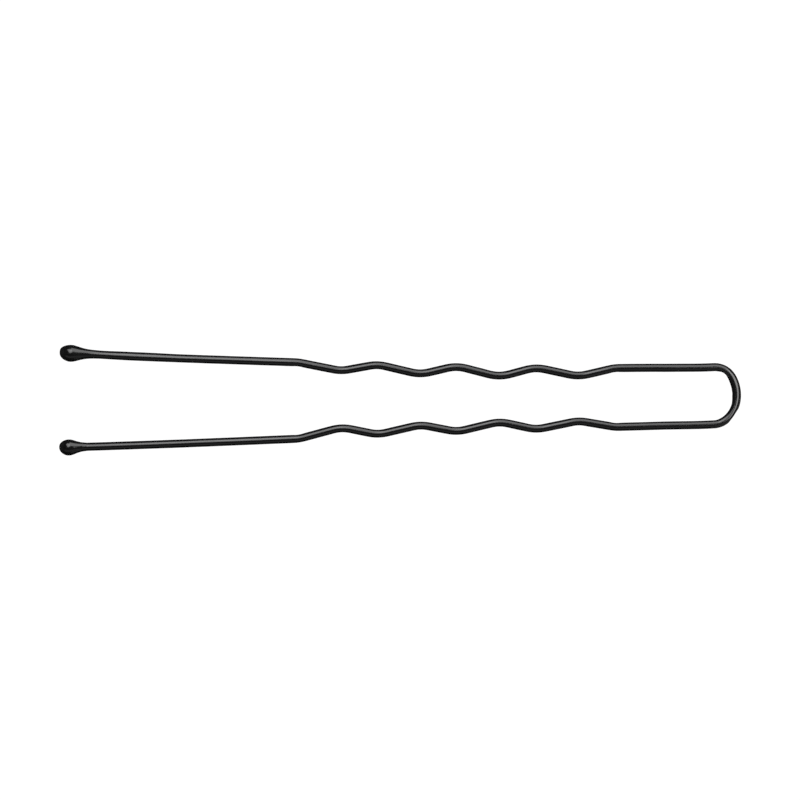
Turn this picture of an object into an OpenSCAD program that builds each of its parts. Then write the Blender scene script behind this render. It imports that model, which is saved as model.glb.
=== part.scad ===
// Wavy hair pin with ball tips. The wire lies along X, with its bow at +X and its tips at -X.
// +Y is the upper leg, +Z is up, and the origin is under the middle of the pin, on the surface it lies on.

/* [Pin] */
// Overall length, from the bow's outer side to the end of the longer leg's ball tip
pin_l = 76; // [60:0.5:90]
// Diameter of the wire over its lacquer
wire_d = 0.92; // [0.8:0.02:1.2]
// Thickness of the black lacquer on the steel
lacquer_t = 0.04; // [0.03:0.005:0.06]

/* [Bow] */
// Width of the bow between the wire's centrelines, where its sides run straight
bow_w = 6.36; // [5.4:0.02:7.2]
// Centreline radius of the bow's two corners
bow_corner_r = 2.3; // [1.4:0.1:2.6]
// Centreline radius of the flatter arc that closes the bow
bow_crown_r = 3.9; // [3.7:0.1:6]

/* [Waves] */
// From the bow's outer side to the first outward bend of the legs
shoulder_l = 14.08; // [13:0.02:18]
// Distance along the pin from one outward bend to the next
wave_pitch = 8.8; // [8:0.1:10]
// Distance from an outward bend to the inward bend that follows it, towards the tips
wave_lag = 4.05; // [3.4:0.05:5]
// Width between the legs where the runs meet at each outward bend, from the bow on
crest_w = [6.54, 6.94, 7.34, 7.82]; // [6:0.02:10]
// Width between the legs where the runs meet at each inward bend, from the bow on
waist_w = [4.94, 4.96, 5.6, 6.28]; // [4:0.02:7]
// Centreline radius of every bend in the legs
bend_r = 4.76; // [2:0.02:6]
// How much smaller the wire's radius is in a bend, where forming draws it
bend_draw = 0.008; // [0.008:0.001:0.012]

/* [Tines] */
// Width between the legs where the waves end and the straight tines begin
tine_w = 8.5; // [7.6:0.02:12]
// Angle at which each tine leaves the pin's middle line
splay = 2.14; // [0:0.02:6]

/* [Ball tips] */
// Diameter of the upper leg's ball
upper_ball_d = 1.9; // [1.6:0.02:2.6]
// Length of the upper leg's tip, from its thin edge to the end of the ball
upper_tip_l = 3.45; // [2.6:0.05:5]
// How much shorter the upper leg is than the lower leg, at the tips
upper_short = 0.12; // [0:0.02:1]
// Diameter of the lower leg's ball
lower_ball_d = 1.8; // [1.6:0.02:2.6]
// Length of the lower leg's tip, from its thin edge to the end of the ball
lower_tip_l = 2.9; // [2.6:0.05:5]
// Angle at which each ball leans outwards from its wire
tip_lean = 2; // [0:0.1:2.4]
// Thickness of a tip at its thin edge
tip_edge_t = 0.05; // [0.05:0.01:0.1]
// From a wire's end to the end of the ball over it
tip_cover = 0.9; // [0.6:0.05:1.2]

/* [Flexing joints] */
// From the bow's outer side to the point about which each leg flexes
flex_l = 8.5; // [7.5:0.1:10]
// How far the radius of the round end at that point is over the wire's radius
knuckle_over = 0.14; // [0.1:0.01:0.3]
// Clearance between a leg's round end and the bow's hollow end
knuckle_gap = 0.03; // [0.02:0.005:0.06]

/* [Hidden] */
$fn = 48;
UPPER = 1;
LOWER = -1;

bow_x = pin_l / 2;
outer_r = wire_d / 2;
core_r = outer_r - lacquer_t;
wire_z = max(upper_ball_d, lower_ball_d) / 2;

// The bow's outline: a crown arc, centred on the middle line, between two tighter corners
crown_x = bow_x - outer_r - bow_crown_r;
corner_reach = bow_crown_r - bow_corner_r;
crown_a = asin((bow_w / 2 - bow_corner_r) / corner_reach);
corner_a = 90 - crown_a;
corner_x = crown_x + corner_reach * cos(crown_a);
corner_y = bow_w / 2 - bow_corner_r;

flex_x = bow_x - flex_l;
knuckle_r = outer_r + knuckle_over;

// How far a bend runs on inside the straight wire at each end, how far inside its ball a tip's cone ends,
// and how far cutters pass their work
lap = 0.05;
tuck = 0.01;
past = 1;

// Where a leg's runs meet, from its flexing point to the end of its wire
function crest_x(i) = bow_x - shoulder_l - i * wave_pitch;
function tip_x(side) = -bow_x + (side == UPPER ? upper_short : 0);
function wire_end_x(side) = tip_x(side) + tip_cover;
function leg_points(side) =
    let (last = len(crest_w), tine_x = crest_x(last))
    concat(
        [[flex_x, side * bow_w / 2]],
        [for (i = [0 : last - 1], p = [[crest_x(i), crest_w[i]], [crest_x(i) - wave_lag, waist_w[i]]])
            [p[0], side * p[1] / 2]],
        [[tine_x, side * tine_w / 2]],
        [[wire_end_x(side), side * (tine_w / 2 + (tine_x - wire_end_x(side)) * tan(splay))]]);

// Heading of the run from point i to the next, turn at point i, and what the bend there takes off a run
function heading(p, i) = atan2(p[i + 1][1] - p[i][1], p[i + 1][0] - p[i][0]);
function wrapped(a) = a - 360 * round(a / 360);
function turn(p, i) = wrapped(heading(p, i) - heading(p, i - 1));
function inner_point(p, i) = i > 0 && i < len(p) - 1;
function take_off(p, i) = inner_point(p, i) ? bend_r * tan(abs(turn(p, i)) / 2) : 0;
function ahead(a) = [cos(a), sin(a)];

// A straight length of round wire from a point, at a heading, started back and run on by the given amounts
module run(from, a, l, r, back = 0, on = 0) {
    translate([from[0], from[1], wire_z])
        rotate([0, 0, a])
            rotate([0, 90, 0])
                translate([0, 0, -back])
                    cylinder(r = r, h = l + back + on);
}

// A round wire bent about a centre, from one polar angle through a sweep
module bend(centre, a, sweep, centreline_r, r, lapped = 0) {
    lap_a = lapped / centreline_r * 180 / PI;
    translate([centre[0], centre[1], wire_z])
        rotate([0, 0, a - lap_a])
            rotate_extrude(angle = sweep + 2 * lap_a)
                translate([centreline_r, 0])
                    circle(r = r);
}

// One run of a leg, between the bends at its two ends
module leg_run(p, i, r, back = 0, on = 0) {
    a = heading(p, i);
    start = p[i] + take_off(p, i) * ahead(a);
    l = norm(p[i + 1] - p[i]) - take_off(p, i) - take_off(p, i + 1);
    run(start, a, l, r, back, on);
}

// The bend of a leg at one point, drawn a little thinner than the runs
module leg_bend(p, i, r) {
    a = heading(p, i - 1);
    t = turn(p, i);
    centre = p[i] - take_off(p, i) * ahead(a) + bend_r * ahead(a + 90 * sign(t));
    first = a - 90 * sign(t) + min(t, 0);
    bend(centre, first, abs(t), bend_r, r - bend_draw, lap);
}

// A whole leg's wire at a given radius, from beyond its flexing point, both its ends run on by an amount
module leg_form(side, r, on = 0) {
    p = leg_points(side);
    last = len(p) - 2;
    for (i = [0 : last])
        leg_run(p, i, r, i == 0 ? knuckle_r + on : 0, i == last ? on : 0);
    for (i = [1 : last])
        leg_bend(p, i, r);
}

// All that lies on the bow's side of a leg's round end
module beyond_knuckle(side) {
    reach = 2 * (knuckle_r + past);
    translate([flex_x, side * bow_w / 2, wire_z])
        difference() {
            translate([0, -reach / 2, -reach / 2])
                cube([reach, reach, reach]);
            cylinder(r = knuckle_r, h = reach + past, center = true);
        }
}

// The bow's wire at a given radius, its two ends run on by an amount past the flexing points
module bow_form(r, on = 0) {
    bend([crown_x, 0], -crown_a, 2 * crown_a, bow_crown_r, r);
    for (side = [UPPER, LOWER]) {
        corner_from = side == UPPER ? crown_a : -crown_a - corner_a;
        bend([corner_x, side * corner_y], corner_from, corner_a, bow_corner_r, r - bend_draw, lap);
        run([flex_x, side * bow_w / 2], 0, corner_x - flex_x, r, on);
    }
}

// The room for the legs' round ends in the bow's hollow ends
module knuckle_room() {
    for (side = [UPPER, LOWER])
        translate([flex_x, side * bow_w / 2, wire_z])
            cylinder(r = knuckle_r + knuckle_gap, h = wire_d + 2 * past, center = true);
}

// A dipped tip: a ball and the cone that thins from it to an edge on the wire, with the wire's blind bore
module ball_tip(side, ball_d, tip_l) {
    p = leg_points(side);
    last = len(p) - 2;
    a = heading(p, last);
    ball_r = ball_d / 2;
    ball_at = tip_l - ball_r;
    edge_r = outer_r + tip_edge_t;
    far = norm([ball_at, edge_r]);
    flare = asin(ball_r / far) - atan(edge_r / ball_at);
    cone_l = sqrt(far * far - ball_r * ball_r) * cos(flare);
    edge_at = p[last + 1] - (tip_l - tip_cover) * ahead(a);
    difference() {
        translate([edge_at[0], edge_at[1], wire_z])
            rotate([0, 0, a - side * tip_lean])
                rotate([0, 90, 0])
                    union() {
                        translate([0, 0, ball_at])
                            sphere(r = ball_r);
                        cylinder(r1 = edge_r, r2 = ball_r * cos(flare) - tuck, h = cone_l);
                    }
        leg_run(p, last, outer_r);
    }
}

module steel() { color([0.46, 0.45, 0.43]) children(); }
module lacquer() { color([0.06, 0.06, 0.06]) children(); }
module tip_resin() { color([0.03, 0.03, 0.03]) children(); }

module bow_wire() {
    steel() difference() {
        bow_form(core_r);
        knuckle_room();
    }
}
module bow_lacquer() {
    lacquer() difference() {
        bow_form(outer_r);
        bow_form(core_r, past);
        knuckle_room();
    }
}

module leg_wire(side) {
    steel() difference() {
        leg_form(side, core_r);
        beyond_knuckle(side);
    }
}
module leg_lacquer(side) {
    lacquer() difference() {
        leg_form(side, outer_r);
        leg_form(side, core_r, past);
        beyond_knuckle(side);
    }
}

module upper_leg_wire() { leg_wire(UPPER); }
module upper_leg_lacquer() { leg_lacquer(UPPER); }
module lower_leg_wire() { leg_wire(LOWER); }
module lower_leg_lacquer() { leg_lacquer(LOWER); }
module upper_ball_tip() { tip_resin() ball_tip(UPPER, upper_ball_d, upper_tip_l); }
module lower_ball_tip() { tip_resin() ball_tip(LOWER, lower_ball_d, lower_tip_l); }

bow_wire();
bow_lacquer();
upper_leg_wire();
upper_leg_lacquer();
lower_leg_wire();
lower_leg_lacquer();
upper_ball_tip();
lower_ball_tip();
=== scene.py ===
"""Looks of a wavy hair pin: one lacquered spring wire in a U, with a dipped drop on each end.

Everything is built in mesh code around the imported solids, in their frame: the wire lies along X, the bow is
at +X, the upper leg is at +Y and the surface under the pin is at Z = 0. Sizes are in millimetres until a
mesh is written.
"""

import logging
import math
from dataclasses import dataclass
from enum import Enum
from typing import Iterable

import bpy
import numpy as np
from mathutils import Matrix, Vector


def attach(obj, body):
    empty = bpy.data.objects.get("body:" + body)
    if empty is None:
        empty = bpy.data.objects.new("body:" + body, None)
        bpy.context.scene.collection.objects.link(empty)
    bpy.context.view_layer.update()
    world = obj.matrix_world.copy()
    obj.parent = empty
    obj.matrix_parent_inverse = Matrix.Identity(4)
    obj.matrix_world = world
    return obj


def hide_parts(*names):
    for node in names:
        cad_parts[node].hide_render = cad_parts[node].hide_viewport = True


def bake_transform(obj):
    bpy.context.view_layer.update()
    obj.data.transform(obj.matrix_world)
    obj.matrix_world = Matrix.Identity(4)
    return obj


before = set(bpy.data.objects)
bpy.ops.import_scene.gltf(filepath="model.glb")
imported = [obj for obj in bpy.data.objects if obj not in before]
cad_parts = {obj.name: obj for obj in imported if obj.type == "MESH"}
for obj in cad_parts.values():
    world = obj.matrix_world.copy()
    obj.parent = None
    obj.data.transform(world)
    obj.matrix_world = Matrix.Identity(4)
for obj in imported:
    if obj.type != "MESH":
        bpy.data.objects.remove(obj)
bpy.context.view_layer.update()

MM = 0.001
PLACE = "wire_place"
RUB = "rub"
BAKE_MAP = "OFBake"
INSIDE, OUTSIDE = 0.0, math.pi

Spot = tuple[float, float]
Colour = tuple[float, float, float, float]
Socket = bpy.types.NodeSocket
Value = Socket | float | Colour
Object = bpy.types.Object
log = logging.getLogger("hair_pin")


class Side(Enum):
    """The two legs, by the sign of their Y."""

    UPPER = 1
    LOWER = -1

    @property
    def label(self) -> str:
        """The leg's name as the solids have it."""
        return self.name.lower()


class Slot(Enum):
    """The record's material slots."""

    STEEL = "spring_steel"
    LACQUER = "black_lacquer"
    RESIN = "tip_resin"


Finishes = dict[Slot, bpy.types.Material]


@dataclass(frozen=True)
class PinSizes:
    """Sizes of the pin in millimetres and degrees. Those down to wire_z are the solids' own.

    Args:
        seam_x: X at which the bow's pieces end and the legs' begin.
        give: how far to each side of its flexing point a leg's wire would bend. It is not used.
        nose_clear: how far a drop's end stays inside the solids' end.
        crest_set: how far each outward bend of both legs lies to +Y of its even place, from the bow on.
        waist_set: the same for each inward bend.
        sweep: how far the real wire's ends lie to +Y of its middle.
        settle: how far its middle lies to -Y.
    """

    pin_l: float = 76.0
    wire_d: float = 0.92
    lacquer_t: float = 0.04
    bow_w: float = 6.36
    bow_corner_r: float = 2.3
    bow_crown_r: float = 3.9
    shoulder_l: float = 14.08
    wave_pitch: float = 8.8
    wave_lag: float = 4.05
    crest_w: tuple[float, ...] = (6.54, 6.94, 7.34, 7.82)
    waist_w: tuple[float, ...] = (4.94, 4.96, 5.6, 6.28)
    bend_r: float = 4.76
    bend_draw: float = 0.008
    tine_w: float = 8.5
    splay: float = 2.14
    upper_short: float = 0.12
    tip_cover: float = 0.9
    flex_l: float = 8.5
    wire_z: float = 0.95
    seam_x: float = 34.6
    give: float = 5.0
    nose_clear: float = 0.01
    crest_set: tuple[float, ...] = (0.01, 0.0, 0.02, 0.01, -0.045)
    waist_set: tuple[float, ...] = (-0.065, -0.065, -0.035, 0.085)
    sweep: float = 0.16
    settle: float = 0.11

    @property
    def bow_x(self) -> float:
        """X of the bow's outer side."""
        return self.pin_l / 2

    @property
    def outer_r(self) -> float:
        """Radius over the lacquer."""
        return self.wire_d / 2

    @property
    def core_r(self) -> float:
        """Radius of the steel."""
        return self.outer_r - self.lacquer_t

    @property
    def flex_x(self) -> float:
        """X of the points about which the legs flex."""
        return self.bow_x - self.flex_l

    def tip_x(self, side: Side) -> float:
        """X of the end of a leg's drop."""
        return -self.bow_x + (self.upper_short if side is Side.UPPER else 0.0)


@dataclass(frozen=True)
class Segment:
    """A straight or evenly curved length of the wire's centreline.

    Args:
        start: distance along the wire at which it begins, from the crown's middle.
        length: its own length.
        place: where it begins.
        heading: the way it sets off, in radians.
        curl: one over its radius, positive to the left, and 0 where it is straight.
    """

    start: float
    length: float
    place: tuple[float, float]
    heading: float
    curl: float = 0.0

    def at(self, along: np.ndarray) -> tuple[np.ndarray, np.ndarray, np.ndarray]:
        """Places and headings at distances along the wire.

        Args:
            along: distances from the crown's middle.

        Returns:
            X, Y and heading at each.
        """
        s = along - self.start
        heading = self.heading + self.curl * s
        x, y = self.place
        if self.curl == 0.0:
            return x + s * math.cos(self.heading), y + s * math.sin(self.heading), heading
        return (
            x + (np.sin(heading) - math.sin(self.heading)) / self.curl,
            y - (np.cos(heading) - math.cos(self.heading)) / self.curl,
            heading,
        )

    def end(self) -> tuple[tuple[float, float], float]:
        """Where the segment ends, and its heading there."""
        x, y, heading = self.at(np.array([self.start + self.length]))
        return (float(x[0]), float(y[0])), float(heading[0])


@dataclass(frozen=True)
class Track:
    """Stations on the wire's centreline, from the lower leg round the bow to the upper leg.

    Args:
        along: distances along the wire, 0 at the crown's middle and negative on the lower leg.
        place: their X, Y and Z.
        heading: the ways the wire runs there, in radians.
    """

    along: np.ndarray
    place: np.ndarray
    heading: np.ndarray

    def inward(self) -> np.ndarray:
        """Unit vectors in the pin's plane, square to the wire, to its left and so to the inside of the U."""
        return np.stack([-np.sin(self.heading), np.cos(self.heading), np.zeros_like(self.heading)], 1)


@dataclass(frozen=True)
class OutwardSet:
    """A place where the real wire lies a little further out than the even pin.

    Args:
        along: its middle along the wire.
        reach: how far it runs to each side.
        out: how far out it lies, and below 0 further in.
    """

    along: float
    reach: float
    out: float

    def at(self, along: np.ndarray) -> tuple[np.ndarray, np.ndarray]:
        """The shift and how fast it grows.

        Args:
            along: distances along the wire.

        Returns:
            The way out, and its growth along the wire.
        """
        away = (along - self.along) / self.reach
        out = self.out * np.exp(-(away**2))
        return out, -2 * away * out / self.reach


class WireRoute:
    """The wire's centreline, bend by bend, and how strongly each place of it is bent.

    SETS are at the bow's upper and lower corners, on the upper shank and at the end of the upper tine.
    """

    SETS = (
        OutwardSet(3.0, 1.9, 0.08),
        OutwardSet(-3.0, 1.9, -0.08),
        OutwardSet(10.8, 4.2, 0.07),
        OutwardSet(76.0, 4.0, 0.09),
    )
    STEP = 0.15
    EASE = 0.35
    LEAST_TURN = 0.1

    def __init__(self, sizes: PinSizes) -> None:
        """Lays out both halves of the wire from the crown's middle.

        Args:
            sizes: the pin's sizes.
        """
        self.sizes = sizes
        self.halves = {side: self._segments(side) for side in Side}

    def _meeting_points(self, side: Side) -> list[tuple[float, float]]:
        """Where a leg's straight runs would meet, from the bow's corner to the wire's end.

        Args:
            side: which leg. Both are laid out at positive Y.

        Returns:
            Points, the first on the straight shank.
        """
        z = self.sizes
        crest_x = [z.bow_x - z.shoulder_l - i * z.wave_pitch for i in range(len(z.crest_w) + 1)]
        points = [(z.flex_x, z.bow_w / 2)]
        waves = zip(crest_x, z.crest_w, z.waist_w, z.crest_set, z.waist_set)
        for x, crest, waist, crest_set, waist_set in waves:
            points.append((x, crest / 2 + side.value * crest_set))
            points.append((x - z.wave_lag, waist / 2 + side.value * waist_set))
        points.append((crest_x[-1], z.tine_w / 2 + side.value * z.crest_set[-1]))
        end_x = z.tip_x(side) + z.tip_cover
        points.append((end_x, z.tine_w / 2 + (crest_x[-1] - end_x) * math.tan(math.radians(z.splay))))
        return points

    def _segments(self, side: Side) -> list[Segment]:
        """The segments of one half, laid out at positive Y.

        Args:
            side: which leg the half leads to.

        Returns:
            Segments from the crown's middle to the wire's end.
        """
        z = self.sizes
        quarter = math.pi / 2
        crown_a = math.asin((z.bow_w / 2 - z.bow_corner_r) / (z.bow_crown_r - z.bow_corner_r))
        crown = (z.bow_x - z.outer_r, 0.0)
        parts = [Segment(0.0, z.bow_crown_r * crown_a, crown, quarter, 1 / z.bow_crown_r)]

        def add(length: float, curl: float = 0.0) -> None:
            """Adds a segment where the last one ends."""
            place, heading = parts[-1].end()
            parts.append(Segment(parts[-1].start + parts[-1].length, length, place, heading, curl))

        add(z.bow_corner_r * (quarter - crown_a), 1 / z.bow_corner_r)
        points = [parts[-1].end()[0]] + self._meeting_points(side)
        headings = [math.atan2(b[1] - a[1], b[0] - a[0]) for a, b in zip(points, points[1:])]
        turns = [math.remainder(b - a, 2 * math.pi) for a, b in zip(headings, headings[1:])]
        spare = 0.0
        for a, b, turn in zip(points, points[1:], turns + [0.0]):
            cut = z.bend_r * math.tan(abs(turn) / 2)
            add(math.dist(a, b) - spare - cut)
            if turn:
                add(z.bend_r * abs(turn), math.copysign(1 / z.bend_r, turn))
            spare = cut
        return parts

    def end(self, side: Side) -> float:
        """Distance along the wire at which a leg's wire ends."""
        last = self.halves[side][-1]
        return side.value * (last.start + last.length)

    def seam(self) -> float:
        """Distance along the wire at which the bow's pieces end and the legs' begin."""
        shank = self.halves[Side.UPPER][2]
        return shank.start + shank.place[0] - self.sizes.seam_x

    def track(self, one: float, other: float) -> Track:
        """Evenly spaced stations.

        Args:
            one: where they start or end, along the wire.
            other: their other end.

        Returns:
            The stations, in order.
        """
        low, high = sorted((one, other))
        along = np.linspace(low, high, math.ceil((high - low) / self.STEP) + 1)
        away = np.abs(along)
        place = np.zeros((len(along), 3))
        place[:, 2] = self.sizes.wire_z
        heading = np.zeros(len(along))
        for side, parts in self.halves.items():
            mine = along >= 0 if side is Side.UPPER else along < 0
            for part in parts:
                before_end = (away < part.start + part.length) | (part is parts[-1])
                here = mine & (away >= part.start) & before_end
                place[here, 0], y, turned = part.at(away[here])
                place[here, 1] = y * side.value
                heading[here] = turned if side is Side.UPPER else math.pi - turned
        return self._settled(Track(along, place, heading))

    def _settled(self, track: Track) -> Track:
        """Gives the wire the slight set of the real pin.

        Args:
            track: stations on the even pin.

        Returns:
            The stations, moved across.
        """
        z = self.sizes
        out, growth = np.sum([wire_set.at(track.along) for wire_set in self.SETS], axis=0)
        place = track.place - out[:, None] * track.inward()
        share = place[:, 0] / z.bow_x
        slope = 4 * z.sweep * share**3 / z.bow_x
        place[:, 1] += z.sweep * share**4 - z.settle
        heading = track.heading - np.arctan(growth)
        ahead, aside = np.cos(heading), np.sin(heading)
        return Track(track.along, place, np.arctan2(aside + slope * ahead, ahead))

    def bends(self) -> list[tuple[float, float, float]]:
        """Every bend of the wire that turns it by more than a few degrees.

        Returns:
            For each, its middle along the wire, its half length and its curl.
        """
        return [
            (side.value * (part.start + part.length / 2), part.length / 2, part.curl)
            for side, parts in self.halves.items()
            for part in parts
            if abs(part.curl * part.length) > self.LEAST_TURN
        ]

    def bentness(self, along: np.ndarray) -> np.ndarray:
        """How far each place is inside a bend, eased from 0 in the runs to 1.

        Args:
            along: distances along the wire.

        Returns:
            A value from 0 to 1 for each.
        """
        total = np.zeros_like(along)
        for middle, half, _ in self.bends():
            total += 0.5 * (np.tanh((half - np.abs(along - middle)) / self.EASE) + 1)
        return np.clip(total, 0, 1)


@dataclass(frozen=True)
class PressMark:
    """A small flat where a forming tool bore on the wire, or a swelling beside one.

    Args:
        along: its middle along the wire.
        around: the side it is on, in radians from the inside of the U.
        depth: how much it takes off the radius. A swelling has a depth below 0.
        length: its length along the wire.
    """

    along: float
    around: float
    depth: float
    length: float
    FAINTEST = 0.01
    LEAST_FACING = 0.2
    ROUNDING = 0.12
    LEAST_ROUNDING = 0.002

    def pressed(self, r: np.ndarray, s: np.ndarray, a: np.ndarray) -> np.ndarray:
        """Puts the mark on the wire.

        Args:
            r: radii, one row for each ring.
            s: the rings' distances along the wire, as a column.
            a: directions around it, as a row.

        Returns:
            The new radii.
        """
        bell = np.exp(-(((s - self.along) / (self.length / 2)) ** 4))
        facing = np.cos(a - self.around)
        if self.depth < 0:
            return r - self.depth * bell * np.clip(facing, 0, 1) ** 2
        flat = (r - self.depth * bell) / np.maximum(facing, self.LEAST_FACING)
        edge = self.ROUNDING * self.depth + self.LEAST_ROUNDING
        lesser = 0.5 * (r + flat - np.hypot(r - flat, edge))
        return np.where(bell > self.FAINTEST, lesser, r)


class WireSkin:
    """The wire's radius over its surface: thinner in the bends, pressed by tools, and a little uneven.

    Each of WAVES has its pitch along the wire, its count around it and a phase. MARKS are at the bow, except
    the last, a thicker run of lacquer on the upper tine. A smaller flat is in every bend of the legs.
    """

    WAVES = ((2.9, 1, 0.3), (4.7, 2, 1.9), (7.3, 1, 4.2), (11.9, 3, 0.8))
    WAVE_HEIGHT = 0.0009
    WAVE_SINK = 0.0003
    MARKS = (
        PressMark(-2.2, OUTSIDE, 0.11, 1.5),
        PressMark(3.2, INSIDE, 0.065, 1.1),
        PressMark(1.0, INSIDE, -0.085, 2.6),
        PressMark(-0.4, INSIDE, -0.045, 1.0),
        PressMark(-3.1, INSIDE, -0.04, 1.8),
        PressMark(69.3, OUTSIDE, -0.045, 6.0),
    )
    BEND_FLAT_DEPTH = 0.016
    BEND_FLAT_L = 1.1
    RUB_PAST_BEND = 0.6
    RUB_POWER = 1.5

    def __init__(self, sizes: PinSizes, route: WireRoute) -> None:
        """Sets out the press marks.

        Args:
            sizes: the pin's sizes.
            route: the wire's route.
        """
        self.sizes = sizes
        self.route = route
        self.marks = [
            PressMark(middle, INSIDE if curl > 0 else OUTSIDE, self.BEND_FLAT_DEPTH, self.BEND_FLAT_L)
            for middle, _, curl in route.bends()
            if abs(middle) > route.seam()
        ]
        self.marks += self.MARKS

    def radius(self, along: np.ndarray, around: np.ndarray, base: float) -> np.ndarray:
        """The radius at each ring and each direction.

        Args:
            along: distances along the wire, one for each ring.
            around: directions, in radians from the inside of the U.
            base: the nominal radius in the straight runs.

        Returns:
            Radii, one row for each ring.
        """
        s, a = along[:, None], around[None, :]
        r = base - self.sizes.bend_draw * self.route.bentness(along)[:, None]
        for pitch, count, phase in self.WAVES:
            r = r + self.WAVE_HEIGHT * np.sin(2 * math.pi * s / pitch + count * a + phase) - self.WAVE_SINK
        for mark in self.marks:
            r = mark.pressed(r, s, a)
        return r

    def rub(self, along: np.ndarray, around: np.ndarray) -> np.ndarray:
        """Where hair and fingers rub the lacquer: the proud side of each bend.

        Args:
            along: distances along the wire, one for each ring.
            around: directions, in radians from the inside of the U.

        Returns:
            Values from 0 to 1, one row for each ring.
        """
        total = np.zeros((len(along), len(around)))
        for middle, half, curl in self.route.bends():
            bell = np.exp(-(((along[:, None] - middle) / (half + self.RUB_PAST_BEND)) ** 2))
            facing = np.cos(around - (OUTSIDE if curl > 0 else INSIDE))
            total += bell * np.clip(facing, 0, 1) ** self.RUB_POWER
        return np.clip(total, 0, 1)


def ring_angles(sides: int) -> np.ndarray:
    """Directions of a ring's vertices, in radians."""
    return np.arange(sides) * 2 * math.pi / sides


@dataclass(frozen=True)
class Patch:
    """A rectangle of the bake map that rings of vertices are laid out in.

    Args:
        u: its left edge.
        v: its lower edge.
        ring_step: from one ring to the next.
        side_step: from one vertex of a ring to the next.
        upright: whether the rings follow each other upwards, and not to the right.
    """

    u: float
    v: float
    ring_step: float
    side_step: float
    upright: bool = False

    def spot(self, ring: int, side: int) -> Spot:
        """The place of a vertex in the map.

        Args:
            ring: the ring's number.
            side: the vertex's number in the ring, which counts on past the last.

        Returns:
            Its two coordinates.
        """
        on, up = ring * self.ring_step, side * self.side_step
        return (self.u + up, self.v + on) if self.upright else (self.u + on, self.v + up)


class MeshKit:
    """Turns rings of points into closed meshes with the values and the bake map that the finishes read."""

    def __init__(self, sides: int) -> None:
        """Starts an empty mesh.

        Args:
            sides: vertices in each ring.
        """
        self.sides = sides
        self.points: list[np.ndarray] = []
        self.places: list[np.ndarray] = []
        self.rubs: list[np.ndarray] = []
        self.faces: list[list[int]] = []
        self.spots: list[Spot] = []
        self.count = 0

    def add_points(self, points: np.ndarray, places: np.ndarray, rub: np.ndarray | float = 0.0) -> int:
        """Adds vertices.

        Args:
            points: where they are, in millimetres.
            places: what the finishes read as their place, in millimetres.
            rub: how much each is rubbed.

        Returns:
            The index of the first one.
        """
        first = self.count
        self.points.append(points.reshape(-1, 3))
        self.places.append(places.reshape(-1, 3))
        self.rubs.append(np.broadcast_to(rub, points.shape[:-1]).ravel())
        self.count += len(self.points[-1])
        return first

    def add_face(self, corners: list[tuple[int, Spot]]) -> None:
        """Adds a face, from each corner's vertex and its place in the bake map."""
        self.faces.append([vertex for vertex, _ in corners])
        self.spots += [spot for _, spot in corners]

    def add_band(self, rings: tuple[int, int], patch: Patch, numbers: tuple[int, int] = (0, 1)) -> None:
        """Joins two rings of vertices with quads. Swapping the rings turns the faces over.

        Args:
            rings: the first vertex of each.
            patch: where the quads go in the bake map.
            numbers: the rings' numbers there.
        """
        (a, b), (i, j) = rings, numbers
        for k in range(self.sides):
            n = (k + 1) % self.sides
            low = [(a + k, patch.spot(i, k)), (a + n, patch.spot(i, k + 1))]
            self.add_face(low + [(b + n, patch.spot(j, k + 1)), (b + k, patch.spot(j, k))])

    def add_tube(self, first: int, rings: int, patch: Patch) -> None:
        """Joins rings that follow each other.

        Args:
            first: the first vertex of the first ring.
            rings: how many rings there are.
            patch: where the quads go in the bake map.
        """
        for i in range(rings - 1):
            self.add_band((first + i * self.sides, first + (i + 1) * self.sides), patch, (i, i + 1))

    def add_disc(self, first: int, middle: Spot, size: float, ahead: bool = True) -> None:
        """Closes a ring with one flat face.

        Args:
            first: the ring's first vertex.
            middle: the middle of its place in the bake map.
            size: its radius there.
            ahead: whether it looks the way that the rings follow each other.
        """
        corners = [
            (first + k, (middle[0] + size * math.cos(a), middle[1] + size * math.sin(a)))
            for k, a in enumerate(ring_angles(self.sides))
        ]
        self.add_face(corners if ahead else corners[::-1])

    def write(self, name: str, sharp: float = 40.0) -> Object:
        """Writes the mesh.

        Args:
            name: the piece's name.
            sharp: the angle between faces, in degrees, above which their edge is crisp.

        Returns:
            The new object, with no parent.
        """
        mesh = bpy.data.meshes.new(name)
        mesh.from_pydata((np.concatenate(self.points) * MM).tolist(), [], self.faces)
        layer = mesh.uv_layers.new(name=BAKE_MAP)
        layer.data.foreach_set("uv", np.array(self.spots, np.float32).ravel())
        place = mesh.attributes.new(PLACE, "FLOAT_VECTOR", "POINT")
        place.data.foreach_set("vector", np.concatenate(self.places).astype(np.float32).ravel())
        rub = mesh.attributes.new(RUB, "FLOAT", "POINT")
        rub.data.foreach_set("value", np.concatenate(self.rubs).astype(np.float32))
        mesh.polygons.foreach_set("use_smooth", [True] * len(mesh.polygons))
        mesh.set_sharp_from_angle(angle=math.radians(sharp))
        mesh.validate()
        mesh.update()
        return link(bpy.data.objects.new(name, mesh))


def link(made: Object) -> Object:
    """Puts a new object into the scene."""
    bpy.context.scene.collection.objects.link(made)
    return made


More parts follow.
